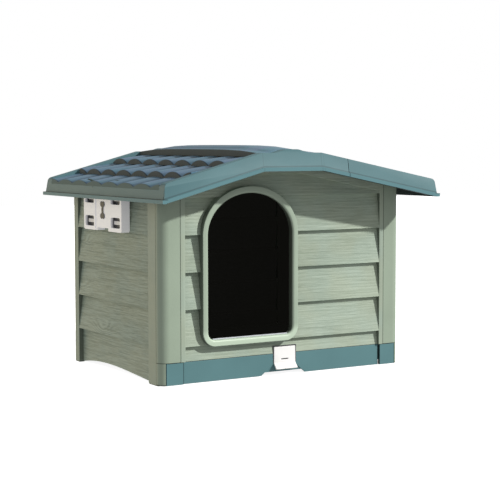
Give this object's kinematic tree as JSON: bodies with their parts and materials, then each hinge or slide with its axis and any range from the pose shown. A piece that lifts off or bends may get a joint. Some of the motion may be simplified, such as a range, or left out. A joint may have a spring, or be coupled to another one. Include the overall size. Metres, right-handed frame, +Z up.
{
  "type": "dog kennel",
  "caption": "Moulded resin dog kennel with board-pattern walls, an arched open doorway left of centre and a tiled roof with an off-centre ridge.",
  "frame": {"origin": "on the floor, below the middle of the roof", "axes": "+X across the front from left to right, +Y from the front towards the back, +Z up"},
  "size_m": [1.1, 0.94, 0.7855],
  "materials": {
    "wall": "moulded sage green resin with a wood grain",
    "frame": "smooth sage green resin",
    "roof": "smooth blue-green resin",
    "tile": "smooth blue resin tiles",
    "trim": "smooth blue-green resin",
    "white": "white plastic",
    "emblem": "dark relief",
    "base": "dark green resin floor",
    "pad": "black rubber"
  },
  "bodies": {
    "root": {"base_tray": "base", "front_wall": "wall", "back_wall": "wall", "left_wall": "wall", "right_wall": "wall", "column_front_left": "wall", "foot_front_left": "wall", "pad_front_left": "pad", "column_front_right": "wall", "foot_front_right": "wall", "pad_front_right": "pad", "column_back_left": "wall", "foot_back_left": "wall", "pad_back_left": "pad", "column_back_right": "wall", "foot_back_right": "wall", "pad_back_right": "pad", "trim_left": "trim", "trim_middle": "trim", "trim_right": "trim", "trim_back": "trim", "door_frame": "frame", "latch": "white", "plate_left": "white", "emblem_left": "emblem", "plate_right": "white", "emblem_right": "emblem", "roof_left": "roof", "roof_right": "roof", "ridge_cap": "tile", "tiles_left_1": "tile", "tiles_left_2": "tile", "tiles_left_3": "tile", "tiles_right_1": "tile", "tiles_right_2": "tile", "tiles_right_3": "tile", "tiles_right_4": "tile"}
  },
  "joints": []
}
